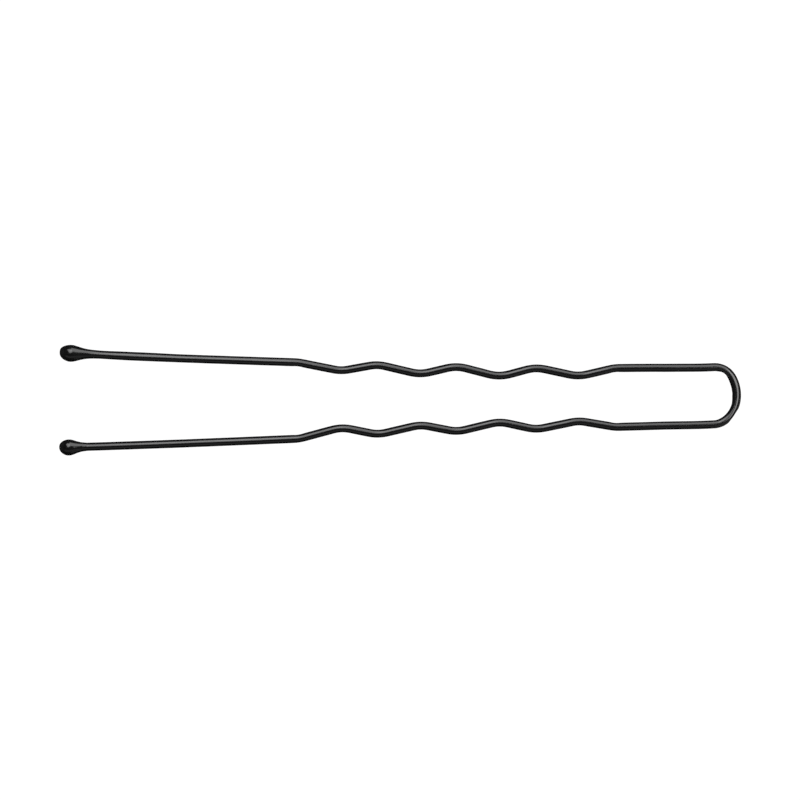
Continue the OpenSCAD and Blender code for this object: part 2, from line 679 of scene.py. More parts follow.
class MapRows:
    """Lays a long tube out in the bake map, cut into rows, with a strip left over at the top."""

    STRIP = 0.06
    EDGE = 0.004
    LONGEST = 1.05

    def __init__(self, rings: int, sides: int, length: float, girth: float) -> None:
        """Chooses the number of rows that leaves the least stretch.

        Args:
            rings: rings in the tube.
            sides: vertices in each ring.
            length: the tube's length.
            girth: its circumference.
        """
        self.sides = sides
        self.rows = max(1, round(math.sqrt(length / (girth * self.LONGEST))))
        self.per_row = max(1, math.ceil((rings - 1) / self.rows))
        self.row_h = (1 - self.STRIP) / self.rows
        self.width = 1 - 2 * self.EDGE

    def band(self, i: int) -> Patch:
        """The patch for the one band of quads that starts at a ring.

        Args:
            i: the ring's number in the tube.

        Returns:
            The patch, in which the band's own rings are 0 and 1.
        """
        row, past = divmod(i, self.per_row)
        step = self.width / self.per_row
        side_step = (self.row_h - 2 * self.EDGE) / self.sides
        return Patch(self.EDGE + past * step, row * self.row_h + self.EDGE, step, side_step)

    def hidden(self, low: float, high: float, rings: int) -> Patch:
        """A patch inside the strip, for faces that don't show.

        Args:
            low: where in the strip it starts, from 0 to 1.
            high: where it ends.
            rings: rings that it holds.

        Returns:
            The patch.
        """
        side_step = self.STRIP * (high - low) / self.sides
        return Patch(self.EDGE, 1 - self.STRIP * (1 - low), self.width / (rings - 1), side_step)


class WirePiece:
    """A length of the wire as a mesh: a closed lacquer shell, or the solid steel inside it."""

    SIDES = 32
    INNER_STRIP = (0.1, 0.5)
    END_STRIP = (0.6, 0.95)
    START_DISC = (0.5, 0.97)
    END_DISC = (0.7, 0.97)
    DISC_SIZE = 0.02

    def __init__(self, skin: WireSkin, one: float, other: float) -> None:
        """Takes the stations.

        Args:
            skin: the wire's surface.
            one: where the piece starts or ends, along the wire.
            other: its other end.
        """
        self.skin = skin
        self.track = skin.route.track(one, other)
        self.rings = len(self.track.along)
        self.last = (self.rings - 1) * self.SIDES
        self.map = MapRows(self.rings, self.SIDES, abs(other - one), 2 * math.pi * skin.sizes.outer_r)

    def _add_skin(self, kit: MeshKit, base: float, out: bool) -> int:
        """Adds one surface of the piece.

        Args:
            kit: the mesh so far.
            base: nominal radius.
            out: whether it faces outwards, and so shows.

        Returns:
            The index of its first vertex.
        """
        along, around = self.track.along, ring_angles(self.SIDES)
        r = self.skin.radius(along, around, base)
        across, up = r * np.cos(around), r * np.sin(around)
        points = self.track.place[:, None, :] + across[:, :, None] * self.track.inward()[:, None, :]
        points[:, :, 2] += up
        places = np.stack([np.broadcast_to(along[:, None], r.shape), across, up], 2)
        first = kit.add_points(points, places, self.skin.rub(along, around) if out else 0.0)
        inner = self.map.hidden(*self.INNER_STRIP, self.rings)
        for i in range(self.rings - 1):
            here = first + i * self.SIDES
            ahead = here + self.SIDES
            if out:
                kit.add_band((here, ahead), self.map.band(i))
            else:
                kit.add_band((ahead, here), inner, (i + 1, i))
        return first

    def shell(self, name: str) -> Object:
        """The lacquer as a closed shell with a wall of its real thickness.

        Args:
            name: the piece's name.

        Returns:
            The new object.
        """
        kit = MeshKit(self.SIDES)
        outer = self._add_skin(kit, self.skin.sizes.outer_r, True)
        inner = self._add_skin(kit, self.skin.sizes.core_r, False)
        ends = self.map.hidden(*self.END_STRIP, 4)
        kit.add_band((inner, outer), ends, (1, 0))
        kit.add_band((outer + self.last, inner + self.last), ends, (2, 3))
        return kit.write(name)

    def core(self, name: str) -> Object:
        """The steel as a solid rod.

        Args:
            name: the piece's name.

        Returns:
            The new object.
        """
        kit = MeshKit(self.SIDES)
        first = self._add_skin(kit, self.skin.sizes.core_r, True)
        kit.add_disc(first, self.START_DISC, self.DISC_SIZE, ahead=False)
        kit.add_disc(first + self.last, self.END_DISC, self.DISC_SIZE)
        return kit.write(name)


class Tree:
    """A short way to place and join shader nodes.

    MIX_INPUTS and MIX_RESULT number the Mix node's sockets for its share, two colours and result.
    """

    COLUMNS = 8
    SPACING = (220, -190)
    MIX_INPUTS = (0, 6, 7)
    MIX_RESULT = 2

    def __init__(self, tree: bpy.types.NodeTree) -> None:
        """Takes the tree to work on."""
        self.tree = tree

    def add(self, kind: str, **settings: object) -> bpy.types.Node:
        """Places a node.

        Args:
            kind: its type.
            settings: properties to set on it.

        Returns:
            The node.
        """
        node = self.tree.nodes.new(kind)
        row, column = divmod(len(self.tree.nodes), self.COLUMNS)
        node.location = (self.SPACING[0] * column, self.SPACING[1] * row)
        for key, value in settings.items():
            setattr(node, key, value)
        return node

    def join(self, source: Socket, target: Socket) -> None:
        """Links two sockets."""
        self.tree.links.new(source, target)

    def feed(self, target: Socket, value: Value) -> None:
        """Links a socket to another, or sets its own value.

        Args:
            target: the socket to feed.
            value: the other socket, or the value.
        """
        if isinstance(value, Socket):
            self.join(value, target)
        else:
            target.default_value = value

    def maths(self, operation: str, a: Value, b: Value, clamp: bool = False) -> Socket:
        """One step of arithmetic.

        Args:
            operation: the Math node's operation.
            a: a socket or a number.
            b: a socket or a number.
            clamp: whether the result stays between 0 and 1.

        Returns:
            The result's socket.
        """
        node = self.add("ShaderNodeMath", operation=operation, use_clamp=clamp)
        self.feed(node.inputs[0], a)
        self.feed(node.inputs[1], b)
        return node.outputs[0]

    def plus(self, a: Value, b: Value, clamp: bool = False) -> Socket:
        """The sum of two values."""
        return self.maths("ADD", a, b, clamp)

    def times(self, a: Value, b: Value, clamp: bool = False) -> Socket:
        """The product of two values."""
        return self.maths("MULTIPLY", a, b, clamp)

    def spread(
        self, value: Value, low: float, high: float, to_low: Value = 0.0, to_high: Value = 1.0
    ) -> Socket:
        """Maps a value smoothly from one range to another, and holds it there.

        Args:
            value: a socket or a number.
            low: the range's low end.
            high: its high end.
            to_low: what the low end becomes.
            to_high: what the high end becomes.

        Returns:
            The result's socket.
        """
        node = self.add("ShaderNodeMapRange", interpolation_type="SMOOTHSTEP", clamp=True)
        for socket, item in zip(node.inputs, (value, low, high, to_low, to_high)):
            self.feed(socket, item)
        return node.outputs[0]

    def noise(
        self, place: Socket, scale: Value, detail: float = 2.0, rough: float = 0.5, warp: float = 0.0
    ) -> Socket:
        """Smooth noise.

        Args:
            place: the coordinates' socket.
            scale: cells in a millimetre.
            detail: octaves.
            rough: share of each next octave.
            warp: how far it is swirled.

        Returns:
            The value's socket, about 0.5.
        """
        node = self.add("ShaderNodeTexNoise")
        values = {"Vector": place, "Scale": scale, "Detail": detail, "Roughness": rough, "Distortion": warp}
        for label, value in values.items():
            self.feed(node.inputs[label], value)
        return node.outputs[0]

    def drawn_out(self, place: Socket, share: float) -> Socket:
        """Coordinates in which everything is drawn out along the wire.

        Args:
            place: the coordinates' socket.
            share: what a distance along the wire is multiplied by.

        Returns:
            The new coordinates' socket.
        """
        node = self.add("ShaderNodeVectorMath", operation="MULTIPLY")
        self.feed(node.inputs[0], place)
        node.inputs[1].default_value = (share, 1.0, 1.0)
        return node.outputs[0]

    def blend(self, share: Value, a: Value, b: Value) -> Socket:
        """Mixes two colours.

        Args:
            share: how much of the second.
            a: first colour, as a socket or four numbers.
            b: second colour.

        Returns:
            The colour's socket.
        """
        node = self.add("ShaderNodeMix", data_type="RGBA")
        for index, value in zip(self.MIX_INPUTS, (share, a, b)):
            self.feed(node.inputs[index], value)
        return node.outputs[self.MIX_RESULT]


class Effect:
    """A shader effect that the finishes share, built once as a node group with named sockets.

    The first input is the place, a vector. The other inputs are numbers with the values that they start at,
    and the outputs are numbers. A name with draw in it is the share that a length along the wire is
    multiplied by, so that what is drawn out there looks long. A pair is the ends of a smooth step.
    """

    name = "effect"
    inputs: dict[str, float] = {}
    outputs: tuple[str, ...] = ()

    def __init__(self) -> None:
        """Builds the group."""
        self.group = bpy.data.node_groups.new(self.name, "ShaderNodeTree")
        sockets = self.group.interface
        sockets.new_socket("Place", in_out="INPUT", socket_type="NodeSocketVector")
        for label, start in self.inputs.items():
            sockets.new_socket(label, in_out="INPUT", socket_type="NodeSocketFloat").default_value = start
        for label in self.outputs:
            sockets.new_socket(label, in_out="OUTPUT", socket_type="NodeSocketFloat")
        self.tree = Tree(self.group)
        self.given, leave = self.tree.add("NodeGroupInput").outputs, self.tree.add("NodeGroupOutput")
        self.place = self.given["Place"]
        for label, socket in self.draw().items():
            self.tree.join(socket, leave.inputs[label])

    def draw(self) -> dict[str, Socket]:
        """Builds the inside of the group, from the inputs that it is given.

        Returns:
            A socket for each output.
        """
        raise NotImplementedError

    def use(self, tree: Tree, place: Socket, **values: Value) -> bpy.types.NodeOutputs:
        """Places the group in a material.

        Args:
            tree: the material's tree.
            place: the coordinates' socket.
            values: a socket or a number for each other input, with _ for a space in its name.

        Returns:
            The group's outputs.
        """
        node = tree.add("ShaderNodeGroup", node_tree=self.group)
        tree.join(place, node.inputs["Place"])
        for label, value in values.items():
            tree.feed(node.inputs[label.replace("_", " ")], value)
        return node.outputs


class FilmRipple(Effect):
    """The soft, uneven surface of a baked or cured film: peel, and longer sags."""

    name = "film_ripple"
    inputs = {"Peel Scale": 3.5, "Sag Scale": 0.5, "Sag Share": 0.6}
    outputs = ("Height",)

    def draw(self) -> dict[str, Socket]:
        """Adds fine peel to broad sags.

        Returns:
            The height.
        """
        tree, place, given = self.tree, self.place, self.given
        peel = tree.noise(place, given["Peel Scale"], rough=0.45, warp=0.3)
        sag = tree.noise(place, given["Sag Scale"], detail=1.5, rough=0.4)
        rest = tree.maths("SUBTRACT", 1.0, given["Sag Share"])
        return {"Height": tree.plus(tree.times(peel, rest), tree.times(sag, given["Sag Share"]))}


class DrawLines(Effect):
    """Fine lines along the wire, left by the die that it was drawn through."""

    name = "draw_lines"
    inputs = {"Fineness": 9.0}
    outputs = ("Height", "Mask")
    LINE_DRAW = 0.03
    BREAK_DRAW = 0.3
    DEEP = (0.56, 0.7)
    UNBROKEN = (0.45, 0.6)

    def draw(self) -> dict[str, Socket]:
        """Draws noise out along the wire, and breaks the lines up.

        Returns:
            The lines' height, and where they are deep.
        """
        tree, place = self.tree, self.place
        lines = tree.noise(
            tree.drawn_out(place, self.LINE_DRAW), self.given["Fineness"], detail=3.0, rough=0.6
        )
        breaks = tree.noise(tree.drawn_out(place, self.BREAK_DRAW), scale=0.9)
        mask = tree.times(tree.spread(lines, *self.DEEP), tree.spread(breaks, *self.UNBROKEN))
        return {"Height": lines, "Mask": mask}


class RubWear(Effect):
    """Where a film is rubbed thin and smooth, broken up so that no edge of it is even."""

    name = "rub_wear"
    inputs = {"Rub": 0.0, "Reach": 0.5}
    outputs = ("Mask", "Polish")
    PUSH = 0.9
    WORN = (0.0, 0.35)
    POLISHED = (0.2, 0.9)

    def draw(self) -> dict[str, Socket]:
        """Lets noise push the rubbed places' edges.

        Returns:
            Where the film is worn thin, and where it is polished.
        """
        tree, given = self.tree, self.given
        patch = tree.noise(self.place, scale=2.2, detail=4.0, rough=0.62)
        pushed = tree.plus(given["Rub"], tree.times(tree.maths("SUBTRACT", patch, 0.5), self.PUSH))
        level = tree.maths("SUBTRACT", tree.plus(pushed, given["Reach"]), 1.0)
        return {"Mask": tree.spread(level, *self.WORN), "Polish": tree.spread(pushed, *self.POLISHED)}


class HandlingFilm(Effect):
    """The patchy haze that fingers and hair oil leave on a glossy surface."""

    name = "handling_film"
    inputs = {"Low": 0.26, "High": 0.36}
    outputs = ("Roughness",)
    SMEAR_DRAW = 0.45
    SMEAR_SHARE = 0.8
    HAZE = (0.34, 0.66)

    def draw(self) -> dict[str, Socket]:
        """Maps smeared noise to a range of roughness.

        Returns:
            The roughness.
        """
        tree, given = self.tree, self.given
        drawn = tree.drawn_out(self.place, self.SMEAR_DRAW)
        smear = tree.noise(drawn, scale=0.8, detail=4.0, rough=0.6, warp=0.4)
        grain = tree.noise(self.place, scale=14.0)
        value = tree.plus(tree.times(smear, self.SMEAR_SHARE), tree.times(grain, 1 - self.SMEAR_SHARE))
        return {"Roughness": tree.spread(value, *self.HAZE, given["Low"], given["High"])}


class SettledDust(Effect):
    """Sparse specks that lie on what faces up."""

    name = "settled_dust"
    inputs = {"Amount": 0.2}
    outputs = ("Mask",)
    CELLS = 5.5
    SPECK = (0.05, 0.16)
    DRIFT = (0.5, 0.64)
    UPWARD = (0.2, 0.8)

    def draw(self) -> dict[str, Socket]:
        """Keeps the cores of small cells on upward faces.

        Returns:
            Where the specks are.
        """
        tree, place = self.tree, self.place
        cells = tree.add("ShaderNodeTexVoronoi", feature="F1")
        tree.join(place, cells.inputs["Vector"])
        cells.inputs["Scale"].default_value = self.CELLS
        speck = tree.spread(cells.outputs["Distance"], *self.SPECK, 1.0, 0.0)
        drift = tree.spread(tree.noise(place, scale=0.7, detail=3.0), *self.DRIFT)
        split = tree.add("ShaderNodeSeparateXYZ")
        tree.join(tree.add("ShaderNodeNewGeometry").outputs["Normal"], split.inputs[0])
        up = tree.spread(split.outputs["Z"], *self.UPWARD)
        specks = tree.times(tree.times(speck, drift), up)
        return {"Mask": tree.times(specks, self.given["Amount"], True)}


class Effects:
    """The shared effects, each built once."""

    def __init__(self) -> None:
        """Builds all of them."""
        self.ripple = FilmRipple()
        self.lines = DrawLines()
        self.wear = RubWear()
        self.film = HandlingFilm()
        self.dust = SettledDust()


@dataclass(frozen=True)
class Finish:
    """A finish: a material whose colour, roughness and relief change over the surface.

    Args:
        name: the material's name.
        rough: the lowest and the highest roughness of its handled surface.
        line_depth: depth of the drawing die's lines, in millimetres, and 0 where there are none.
    """

    name: str
    rough: tuple[float, float]
    line_depth: float

    def start(self) -> tuple[bpy.types.Material, Tree, bpy.types.NodeInputs]:
        """Makes an empty material.

        Returns:
            The material, its tree and the sockets of its surface shader.
        """
        made = bpy.data.materials.new(self.name)
        made.use_nodes = True
        made.node_tree.nodes.clear()
        tree = Tree(made.node_tree)
        surface = tree.add("ShaderNodeBsdfPrincipled")
        tree.join(surface.outputs[0], tree.add("ShaderNodeOutputMaterial").inputs["Surface"])
        return made, tree, surface.inputs

    @staticmethod
    def read(tree: Tree, attribute: str, output: str) -> Socket:
        """Reads one of the mesh's own values."""
        node = tree.add("ShaderNodeAttribute", attribute_name=attribute, attribute_type="GEOMETRY")
        return node.outputs[output]

    @staticmethod
    def relief(tree: Tree, height: Socket, depth: float, under: Socket | None = None) -> Socket:
        """Bumps the surface.

        Args:
            tree: the material's tree.
            height: the height's socket, from 0 to 1.
            depth: what 1 stands for, in millimetres.
            under: a normal to add it to.

        Returns:
            The normal's socket.
        """
        bump = tree.add("ShaderNodeBump")
        bump.inputs["Strength"].default_value = 1.0
        bump.inputs["Distance"].default_value = depth * MM
        tree.join(height, bump.inputs["Height"])
        if under is not None:
            tree.join(under, bump.inputs["Normal"])
        return bump.outputs[0]


@dataclass(frozen=True)
class BlackLacquer(Finish):
    """Baked semi-gloss black lacquer on the wire, which the drawing die's lines show through."""

    name: str = "black_lacquer_baked"
    rough: tuple[float, float] = (0.14, 0.21)
    line_depth: float = 0.0004
    deep: Colour = (0.0031, 0.0031, 0.0033, 1.0)
    worn: Colour = (0.0075, 0.007, 0.0065, 1.0)
    dusty: Colour = (0.16, 0.155, 0.15, 1.0)
    polished: float = 0.12
    line_rough: float = 0.05
    line_fineness: float = 9.0
    peel_depth: float = 0.0009
    peel_scale: float = 3.2
    sag_scale: float = 0.42
    sag_share: float = 0.55
    wear_reach: float = 0.42
    dust: float = 0.25
    dust_rough: float = 0.4
    ior: float = 1.5
    slot = Slot.LACQUER

    def material(self, effects: Effects) -> bpy.types.Material:
        """Builds the material.

        Args:
            effects: the shared effects.

        Returns:
            The material.
        """
        made, tree, surface = self.start()
        place = self.read(tree, PLACE, "Vector")
        wear = effects.wear.use(tree, place, Rub=self.read(tree, RUB, "Fac"), Reach=self.wear_reach)
        film = effects.film.use(tree, place, Low=self.rough[0], High=self.rough[1])["Roughness"]
        dust = effects.dust.use(tree, place, Amount=self.dust)["Mask"]
        colour = tree.blend(wear["Mask"], self.deep, self.worn)
        tree.join(tree.blend(dust, colour, self.dusty), surface["Base Color"])
        rough = tree.spread(wear["Polish"], 0.0, 1.0, film, self.polished)
        normal = None
        if self.line_depth:
            lines = effects.lines.use(tree, place, Fineness=self.line_fineness)
            rough = tree.plus(rough, tree.times(lines["Mask"], self.line_rough))
            normal = self.relief(tree, lines["Height"], self.line_depth)
        tree.join(tree.plus(rough, tree.times(dust, self.dust_rough), True), surface["Roughness"])
        scales = {"Peel_Scale": self.peel_scale, "Sag_Scale": self.sag_scale, "Sag_Share": self.sag_share}
        ripple = effects.ripple.use(tree, place, **scales)["Height"]
        tree.join(self.relief(tree, ripple, self.peel_depth, normal), surface["Normal"])
        surface["IOR"].default_value = self.ior
        return made


@dataclass(frozen=True)
class TipResin(BlackLacquer):
    """Dipped and cured black resin of the drops: a smoother, wavier film with no lines."""

    name: str = "tip_resin_cured"
    rough: tuple[float, float] = (0.15, 0.21)
    line_depth: float = 0.0
    deep: Colour = (0.003, 0.003, 0.0031, 1.0)
    worn: Colour = (0.006, 0.006, 0.0062, 1.0)
    polished: float = 0.14
    peel_depth: float = 0.0014
    peel_scale: float = 2.0
    sag_scale: float = 0.7
    sag_share: float = 0.6
    wear_reach: float = 0.4
    dust: float = 0.2
    slot = Slot.RESIN


@dataclass(frozen=True)
class DrawnSteel(Finish):
    """Hard-drawn spring steel, as the wire is under its lacquer."""

    name: str = "spring_steel_drawn"
    rough: tuple[float, float] = (0.28, 0.46)
    line_depth: float = 0.002
    line_fineness: float = 14.0
    bright: Colour = (0.5, 0.49, 0.47, 1.0)
    dark: Colour = (0.3, 0.285, 0.27, 1.0)
    slot = Slot.STEEL

    def material(self, effects: Effects) -> bpy.types.Material:
        """Builds the material.

        Args:
            effects: the shared effects.

        Returns:
            The material.
        """
        made, tree, surface = self.start()
        place = self.read(tree, PLACE, "Vector")
        lines = effects.lines.use(tree, place, Fineness=self.line_fineness)
        film = effects.film.use(tree, place, Low=self.rough[0], High=self.rough[1])["Roughness"]
        tree.join(tree.blend(lines["Mask"], self.bright, self.dark), surface["Base Color"])
        tree.join(film, surface["Roughness"])
        tree.join(self.relief(tree, lines["Height"], self.line_depth), surface["Normal"])
        surface["Metallic"].default_value = 1.0
        return made


def build_finishes() -> Finishes:
    """Builds the shared effects and the pin's three materials.

    Returns:
        The material for each slot.
    """
    effects = Effects()
    return {finish.slot: finish.material(effects) for finish in (BlackLacquer(), TipResin(), DrawnSteel())}


@dataclass
class SubAssembly:
    """What every sub-assembly is built from.

    Args:
        sizes: the pin's sizes.
        skin: the wire's surface.
        finishes: the material for each slot.
    """

    sizes: PinSizes
    skin: WireSkin
    finishes: Finishes

    def dress(self, piece: Object, slot: Slot, node: str) -> Object:
        """Gives a piece its finish, and hides the solid that it stands for.

        Args:
            piece: the piece.
            slot: the record's slot.
            node: the solid that it replaces.

        Returns:
            The piece.
        """
        piece.data.materials.append(self.finishes[slot])
        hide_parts(node)
        return piece

    def wire(self, body: str, one: float, other: float) -> list[Object]:
        """Builds and dresses a body's lacquer and steel.

        Args:
            body: the body's name.
            one: where its wire starts or ends, along the wire.
            other: its other end.

        Returns:
            The two pieces.
        """
        piece = WirePiece(self.skin, one, other)
        return [
            self.dress(piece.shell(f"{body}_lacquer_film"), Slot.LACQUER, f"{body}_lacquer"),
            self.dress(piece.core(f"{body}_steel_wire"), Slot.STEEL, f"{body}_wire"),
        ]


@dataclass
class Bow(SubAssembly):
    """The closed end of the pin, from one shank round the crown to the other."""

    def build(self) -> list[Object]:
        """Builds the lacquer and the steel.

        Returns:
            The pieces.
        """
        seam = self.skin.route.seam()
        pieces = self.wire("bow", -seam, seam)
        for piece in pieces:
            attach(piece, "bow")
        return pieces


@dataclass
class Leg(SubAssembly):
    """One leg, from the bow's shank through the waves and the tine to the end of the wire."""

    side: Side

    def build(self) -> list[Object]:
        """Builds the lacquer and the steel.

        Returns:
            The pieces.
        """
        body, route = f"{self.side.label}_leg", self.skin.route
        pieces = self.wire(body, self.side.value * route.seam(), route.end(self.side))
        for piece in pieces:
            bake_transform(piece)
        return pieces


@dataclass(frozen=True)
class DropShape:
    """The shape of a dipped drop, in millimetres.

    Args:
        bulb_r: largest radius.
        nose_l: from the drop's end to where it is widest.
        nose_power: how round it is where it is widest. 2 is an ellipse.
        nose_root: how round its end is. 0.5 is an ellipse, and less is blunter.
        neck_l: over what length it thins behind there.
        neck_power: how late the thinning starts.
        length: from the drop's end to its feather edge.
        lean: how far it hangs out from the wire's line, and below 0 how far in.
        tilt: how much further out its end is.
    """

    bulb_r: float
    nose_l: float
    nose_power: float
    nose_root: float
    neck_l: float
    neck_power: float
    length: float
    lean: float
    tilt: float
    EASE = 0.12
    LEAST_FILM = 0.012
    FEATHER_L = 0.3

    def _eased(self, away: np.ndarray | float) -> np.ndarray | float:
        """Lets a distance from the widest ring set in slowly, so that the drop has no crease there."""
        return np.hypot(away, self.EASE) - self.EASE

    def radius(self, back: np.ndarray, wire_r: float) -> np.ndarray:
        """The drop's radius at distances from its end.

        Args:
            back: distances from the end, back along the wire.
            wire_r: radius of the wire that it sits on.

        Returns:
            A radius for each.
        """
        nose = self._eased(np.clip(1 - back / self.nose_l, 0, 1)) / self._eased(1.0)
        front = self.bulb_r * np.clip(1 - nose**self.nose_power, 0, 1) ** self.nose_root
        past = self._eased(np.clip(back - self.nose_l, 0, None) / self.neck_l)
        film = (self.bulb_r - wire_r) * np.exp(-(past**self.neck_power))
        edge = np.clip((self.length - back) / self.FEATHER_L, 0, 1)
        film = np.maximum(film, self.LEAST_FILM) * edge * (2 - edge)
        return np.where(back < self.nose_l, front, wire_r + film)

    def hang(self, back: np.ndarray) -> np.ndarray:
        """How far the drop's middle is out from the wire's line.

        Args:
            back: distances from the end, back along the wire.

        Returns:
            The distance at each.
        """
        t = np.clip(1 - back / self.length, 0, 1)
        nose = np.clip(1 - back / self.nose_l, 0, 1)
        return self.lean * t * t * (3 - 2 * t) + self.tilt * nose * nose


@dataclass(frozen=True)
class DropFrame:
    """Where a drop is.

    Args:
        nose: the drop's end.
        back: the way back along the wire.
        outward: the way out from the pin.
        wire: stations on the wire near its end.
    """

    nose: np.ndarray
    back: np.ndarray
    outward: np.ndarray
    wire: np.ndarray
    FAR = 200.0

    @classmethod
    def at_end(cls, skin: WireSkin, side: Side, reach: float) -> "DropFrame":
        """Finds the frame at the end of a leg's wire.

        Args:
            skin: the wire's surface.
            side: which leg.
            reach: how far back along the wire the frame is used.

        Returns:
            The frame.
        """
        sizes, end = skin.sizes, skin.route.end(side)
        wire = skin.route.track(end - side.value * reach, end)
        at = -1 if side is Side.UPPER else 0
        heading = wire.heading[at]
        ahead = side.value * np.array([math.cos(heading), math.sin(heading), 0.0])
        nose = wire.place[at] + ahead * (sizes.tip_cover - sizes.nose_clear)
        return cls(nose, -ahead, -wire.inward()[at], wire.place)

    def stray(self, depths: np.ndarray) -> np.ndarray:
        """How far the wire lies outwards from the line that its end points along.

        Args:
            depths: distances from the drop's end.

        Returns:
            The distance at each.
        """
        behind, aside = (self.wire - self.nose) @ self.back, (self.wire - self.nose) @ self.outward
        order = np.argsort(behind)
        return np.interp(depths, behind[order], aside[order])

    def rings(
        self, depths: np.ndarray, r: np.ndarray, hang: np.ndarray | float = 0.0
    ) -> tuple[np.ndarray, np.ndarray]:
        """Rings of points about the wire's line.

        Args:
            depths: each ring's distance from the drop's end.
            r: radii, one row for each ring.
            hang: how far each ring's middle is out from the wire's line.

        Returns:
            The points, and their places for the finishes, which start far from the wire's own.
        """
        around = ring_angles(r.shape[1])
        out = r * np.cos(around) + (hang + self.stray(depths))[:, None]
        up = r * np.sin(around)
        middles = (self.nose + depths[:, None] * self.back)[:, None, :]
        points = middles + out[:, :, None] * self.outward + up[:, :, None] * np.cross(self.back, self.outward)
        return points, np.stack([np.broadcast_to(depths[:, None] + self.FAR, r.shape), out, up], 2)


@dataclass
class BallTip(SubAssembly):
    """The drop of resin on the end of one leg's wire."""

    side: Side
    shape: DropShape
    SIDES = 48
    RINGS = 90
    CROWDING = 0.65
    UNEVEN = 0.006
    UNEVEN_PHASE = 0.7
    UNEVEN_L = 1.6
    EVEN_FILM = 0.05
    RUB_REACH = 0.9
    BORE_LIP = 0.02
    SHARP = 50.0
    OUTER_PATCH = Patch(0.005, 0.005 + 0.9 / RINGS, 0.9 / RINGS, 0.99 / SIDES, upright=True)
    BORE_PATCH = Patch(0.005, 0.92, 0.023, 0.7 / SIDES, upright=True)
    BORE_DISC = (0.85, 0.955)
    DISC_SIZE = 0.03

    def _radii(self, depths: np.ndarray) -> np.ndarray:
        """The drop's radii, a little uneven where it is thick.

        Args:
            depths: each ring's distance from the drop's end.

        Returns:
            Radii, one row for each ring.
        """
        r = self.shape.radius(depths, self.sizes.outer_r)[:, None]
        lobes = np.sin(2 * ring_angles(self.SIDES) + self.UNEVEN_PHASE)
        uneven = 1 + self.UNEVEN * lobes * np.exp(-depths[:, None] / self.UNEVEN_L)
        return r * np.where(r > self.sizes.outer_r + self.EVEN_FILM, uneven, 1.0)

    def build(self) -> list[Object]:
        """Turns the drop's profile, with the wire's blind bore inside.

        Returns:
            The piece.
        """
        shape, label = self.shape, self.side.label
        at = DropFrame.at_end(self.skin, self.side, 2 * shape.length)
        turn = np.linspace(0, 1, self.RINGS + 1)[1:]
        depths = shape.length * ((1 - self.CROWDING) * turn + self.CROWDING * turn**2)
        hang = shape.hang(depths)
        rub = np.exp(-((depths[:, None] / (self.RUB_REACH * shape.nose_l)) ** 2))
        kit = MeshKit(self.SIDES)
        end = at.nose + at.outward * (hang[0] + at.stray(depths)[0])
        pole = kit.add_points(end, np.array([at.FAR, shape.lean, 0.0]), 1.0)
        first = kit.add_points(*at.rings(depths, self._radii(depths), hang), rub)
        spot = self.OUTER_PATCH.spot
        for k in range(self.SIDES):
            n = (k + 1) % self.SIDES
            kit.add_face([(pole, spot(-1, k)), (first + n, spot(0, k + 1)), (first + k, spot(0, k))])
        kit.add_tube(first, self.RINGS, self.OUTER_PATCH)
        self._add_bore(kit, at, first + (self.RINGS - 1) * self.SIDES)
        piece = self.dress(kit.write(f"{label}_tip_drop", self.SHARP), Slot.RESIN, f"{label}_ball_tip")
        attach(piece, f"{label}_leg")
        return [piece]

    def _add_bore(self, kit: MeshKit, at: DropFrame, edge: int) -> None:
        """Closes the drop with the bore that the wire's end fills.

        Args:
            kit: the mesh so far, whose last ring is the feather edge.
            at: where the drop is.
            edge: the feather edge's first vertex.
        """
        depths = np.array([self.shape.length - self.BORE_LIP, self.shape.length / 2, self.sizes.tip_cover])
        kit.add_points(*at.rings(depths, np.full((len(depths), self.SIDES), self.sizes.outer_r)))
        kit.add_tube(edge, 1 + len(depths), self.BORE_PATCH)
        kit.add_disc(edge + len(depths) * self.SIDES, self.BORE_DISC, self.DISC_SIZE)


DROPS = {
    Side.UPPER: DropShape(
        bulb_r=0.944,
        nose_l=1.25,
        nose_power=1.5,
        nose_root=0.4,
        neck_l=1.22,
        neck_power=1.58,
        length=4.4,
        lean=-0.03,
        tilt=0.1,
    ),
    Side.LOWER: DropShape(
        bulb_r=0.895,
        nose_l=1.07,
        nose_power=1.6,
        nose_root=0.46,
        neck_l=0.95,
        neck_power=1.8,
        length=3.1,
        lean=0.03,
        tilt=-0.06,
    ),
}


@dataclass(frozen=True)
class Softbox:
    """A soft rectangular light aimed at the pin. WATTS are what a square metre takes to look as bright as 1.

    Args:
        name: its name.
        azimuth: where it stands, in degrees from +X towards +Y.
        zenith: its angle from straight up, in degrees.
        distance: from the pin's middle, in metres.
        width: its size along the horizon, in metres.
        height: its size up the sky, in metres.
        radiance: how bright its face looks.
        turn: how far it is rolled about its own aim, in degrees.
    """

    name: str
    azimuth: float
    zenith: float
    distance: float
    width: float
    height: float
    radiance: float
    turn: float = 0.0
    WATTS = 4.0

    def build(self) -> Object:
        """Hangs the light.

        Returns:
            The light's object.
        """
        data = bpy.data.lights.new(self.name, "AREA")
        data.shape = "RECTANGLE"
        data.size, data.size_y = self.width, self.height
        data.energy = self.WATTS * self.width * self.height * self.radiance
        made = link(bpy.data.objects.new(self.name, data))
        a, t = math.radians(self.azimuth), math.radians(self.zenith)
        place = Vector((math.sin(t) * math.cos(a), math.sin(t) * math.sin(a), math.cos(t))) * self.distance
        roll = Matrix.Rotation(math.radians(self.turn), 3, "Z")
        aim = place.to_track_quat("Z", "Y").to_matrix() @ roll
        made.matrix_world = Matrix.Translation(place) @ aim.to_4x4()
        made.visible_camera = False
        return made


